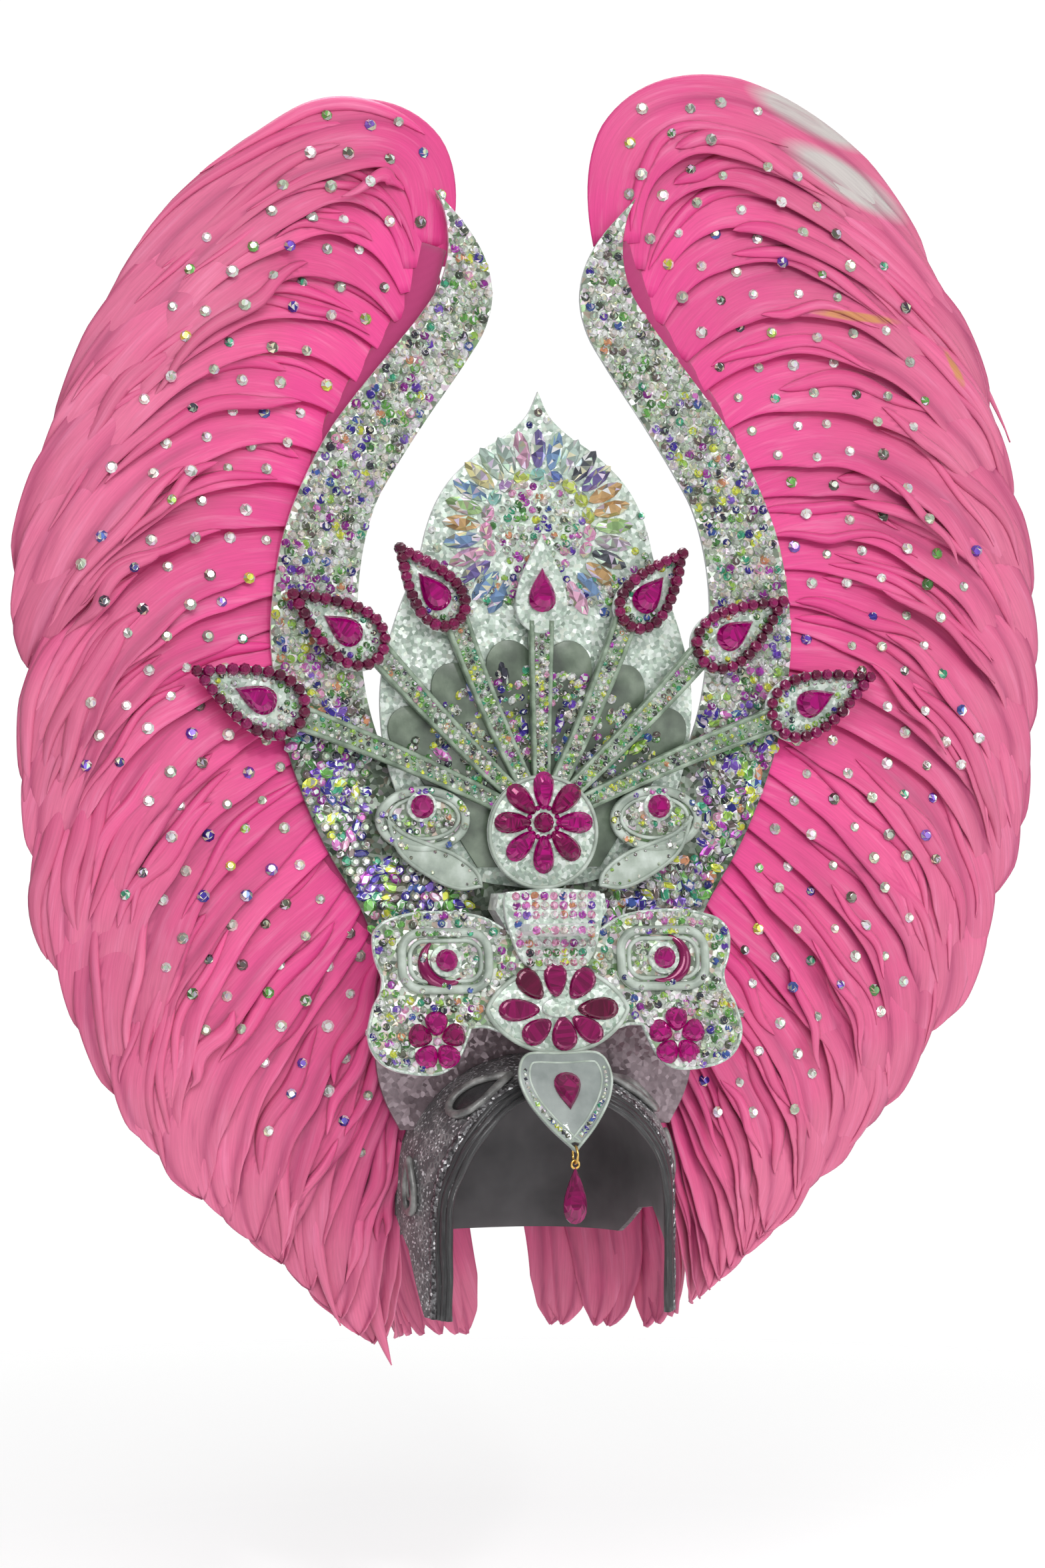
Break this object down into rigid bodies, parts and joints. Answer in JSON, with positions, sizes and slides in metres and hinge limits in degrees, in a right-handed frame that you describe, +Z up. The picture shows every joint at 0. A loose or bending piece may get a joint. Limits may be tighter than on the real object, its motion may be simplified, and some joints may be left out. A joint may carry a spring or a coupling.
{
  "type": "carnival feather headdress",
  "caption": "Tall carnival headdress: a close cap with side tabs, a glittered two-horned front set with stones, a forehead drop and two wings of dyed feathers.",
  "frame": {"origin": "inside of the cap where the crown of the head meets it", "axes": "+Z up, -Y the way the wearer faces, +X to the right as seen from the front"},
  "size_m": [0.6902, 0.2229, 0.8299],
  "materials": {
    "glitter_board": "holographic glitter foil on foam board",
    "silver_board": "pale silver glitter foil on foam board",
    "smooth_board": "smooth grey-green satin board",
    "magenta_stone": "cut acrylic, foil backed",
    "wine_bead": "faceted acrylic beads",
    "clear_stone": "cut acrylic with a rainbow coating, foil backed",
    "pink_feather": "dyed soft feather",
    "cap_cloth": "grey glitter lace over a padded cap",
    "dark_band": "glossy dark satin",
    "gilt_wire": "polished plated wire"
  },
  "bodies": {
    "headdress": {"cap_shell": "cap_cloth", "face_band": "dark_band", "cap_scroll_left_upper": "cap_cloth", "cap_scroll_left_lower": "cap_cloth", "cap_scroll_right_upper": "cap_cloth", "cap_scroll_right_lower": "cap_cloth", "lyre_plate": "glitter_board", "ogive_plate": "silver_board", "marquise_horseshoe": "clear_stone", "fan_backing": "smooth_board", "stem_1": "glitter_board", "stem_2": "glitter_board", "stem_3": "glitter_board", "stem_4": "glitter_board", "stem_5": "glitter_board", "stem_6": "glitter_board", "stem_7": "glitter_board", "bead_border_1": "wine_bead", "bead_border_2": "wine_bead", "bead_border_3": "wine_bead", "bead_border_5": "wine_bead", "bead_border_6": "wine_bead", "bead_border_7": "wine_bead", "teardrop_stone_1": "magenta_stone", "teardrop_stone_2": "magenta_stone", "teardrop_stone_3": "magenta_stone", "teardrop_stone_4": "magenta_stone", "teardrop_stone_5": "magenta_stone", "teardrop_stone_6": "magenta_stone", "teardrop_stone_7": "magenta_stone", "upper_disc": "silver_board", "upper_flower": "magenta_stone", "side_scroll_left": "glitter_board", "side_scroll_right": "glitter_board", "round_stone_upper_left": "magenta_stone", "round_stone_upper_right": "magenta_stone", "waist_block": "silver_board", "brow_plate": "glitter_board", "ring_mount_left": "glitter_board", "ring_mount_right": "glitter_board", "round_stone_lower_left": "magenta_stone", "round_stone_lower_right": "magenta_stone", "small_flower_left": "magenta_stone", "small_flower_right": "magenta_stone", "oval_plate": "silver_board", "lower_flower": "magenta_stone", "forehead_plate": "smooth_board", "forehead_stone": "magenta_stone", "wing_left_upper": "pink_feather", "wing_left_middle": "pink_feather", "wing_left_lower": "pink_feather", "wing_right_upper": "pink_feather", "wing_right_middle": "pink_feather", "wing_right_lower": "pink_feather"},
    "drop_ring": {"jump_ring": "gilt_wire"},
    "drop": {"forehead_drop": "magenta_stone"}
  },
  "joints": [
    {"name": "ring_swing", "type": "hinge", "parent": "headdress", "child": "drop_ring", "pos_m": [0, -0.09595, -0.04895], "axis": [1, 0, 0], "range_deg": [-60, 8]},
    {"name": "drop_swing", "type": "hinge", "parent": "drop_ring", "child": "drop", "pos_m": [0, -0.09595, -0.05935], "axis": [0, 1, 0], "range_deg": [-30, 30]}
  ]
}
